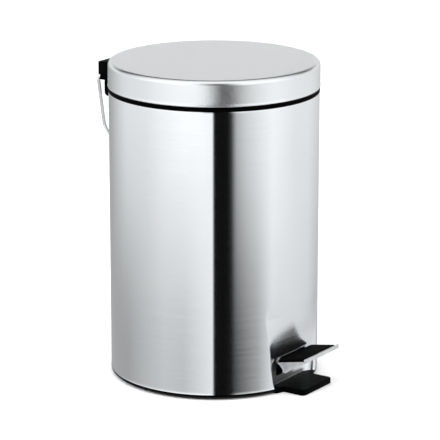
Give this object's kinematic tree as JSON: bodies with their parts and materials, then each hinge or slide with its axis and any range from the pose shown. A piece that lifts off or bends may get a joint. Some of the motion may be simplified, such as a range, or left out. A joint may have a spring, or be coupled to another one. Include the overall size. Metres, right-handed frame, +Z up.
{
  "type": "pedal bin",
  "caption": "Round steel pedal bin with a hinged flat lid, foot pedal, rear hinge housing, wire carrying handle and lift-out bucket.",
  "frame": {"origin": "on the bin's upright axis, on the floor, in the plane of the anti-slip ring's standing face", "axes": "+Z up, -Y towards the pedal (the front), +Y towards the lid hinge and the carrying handle, +X to the right of someone who stands in front of the pedal and looks at the bin"},
  "size_m": [0.2514, 0.2973, 0.3813],
  "materials": {
    "polished_steel": "satin polished stainless sheet",
    "stamped_steel": "stamped, lightly polished steel",
    "zinc_steel": "zinc-plated steel",
    "bright_wire": "chromed wire",
    "black_plastic": "fine-textured black moulded plastic",
    "bucket_plastic": "black moulded plastic",
    "black_rubber": "matt black rubber"
  },
  "bodies": {
    "frame": {"outer_body": "polished_steel", "top_rim_ring": "black_plastic", "base_moulding": "black_plastic", "anti_slip_ring": "black_rubber", "pedal_bracket": "zinc_steel", "bracket_screws": "zinc_steel", "pedal_pivot_pin": "zinc_steel", "pivot_pin_clip": "zinc_steel", "rod_guide": "black_plastic", "hinge_housing": "black_plastic", "housing_backing_plate": "zinc_steel", "housing_screws": "zinc_steel", "hinge_pin": "zinc_steel"},
    "lid": {"lid_shell": "polished_steel", "lid_liner": "black_plastic", "lid_hinge_arm": "zinc_steel", "liner_screws": "zinc_steel", "lid_buffers": "black_rubber"},
    "pedal": {"pedal_lever": "stamped_steel", "pedal_tread": "black_rubber"},
    "rod": {"push_rod": "bright_wire", "rod_retainers": "zinc_steel"},
    "handle": {"carry_handle": "bright_wire"},
    "bucket": {"inner_bucket": "bucket_plastic"},
    "bail": {"bucket_bail": "bright_wire"}
  },
  "joints": [
    {"name": "lid_hinge", "type": "hinge", "parent": "frame", "child": "lid", "pos_m": [0, 0.1345, 0.363], "axis": [-1, 0, 0], "range_deg": [0, 75]},
    {"name": "pedal_pivot", "type": "hinge", "parent": "frame", "child": "pedal", "pos_m": [0, -0.045, 0.024], "axis": [1, 0, 0], "range_deg": [0, 8.64]},
    {"name": "rod_slide", "type": "slide", "parent": "frame", "child": "rod", "axis": [0, 0, 1], "range_m": [0, 0.02456]},
    {"name": "handle_swing", "type": "hinge", "parent": "frame", "child": "handle", "pos_m": [0, 0.138, 0.3536], "axis": [1, 0, 0], "range_deg": [0, 95]},
    {"name": "bucket_lift", "type": "slide", "parent": "frame", "child": "bucket", "axis": [0, 0, 1], "range_m": [0, 0.01]},
    {"name": "bail_hinge", "type": "hinge", "parent": "bucket", "child": "bail", "pos_m": [0, 0, 0.3478], "axis": [-1, 0, 0], "range_deg": [0, 6]}
  ],
  "couplings": [
    {"joint": "pedal_pivot", "follows": "lid_hinge", "ratio": 0.11517},
    {"joint": "rod_slide", "follows": "lid_hinge", "m_per_rad": 0.018758}
  ]
}
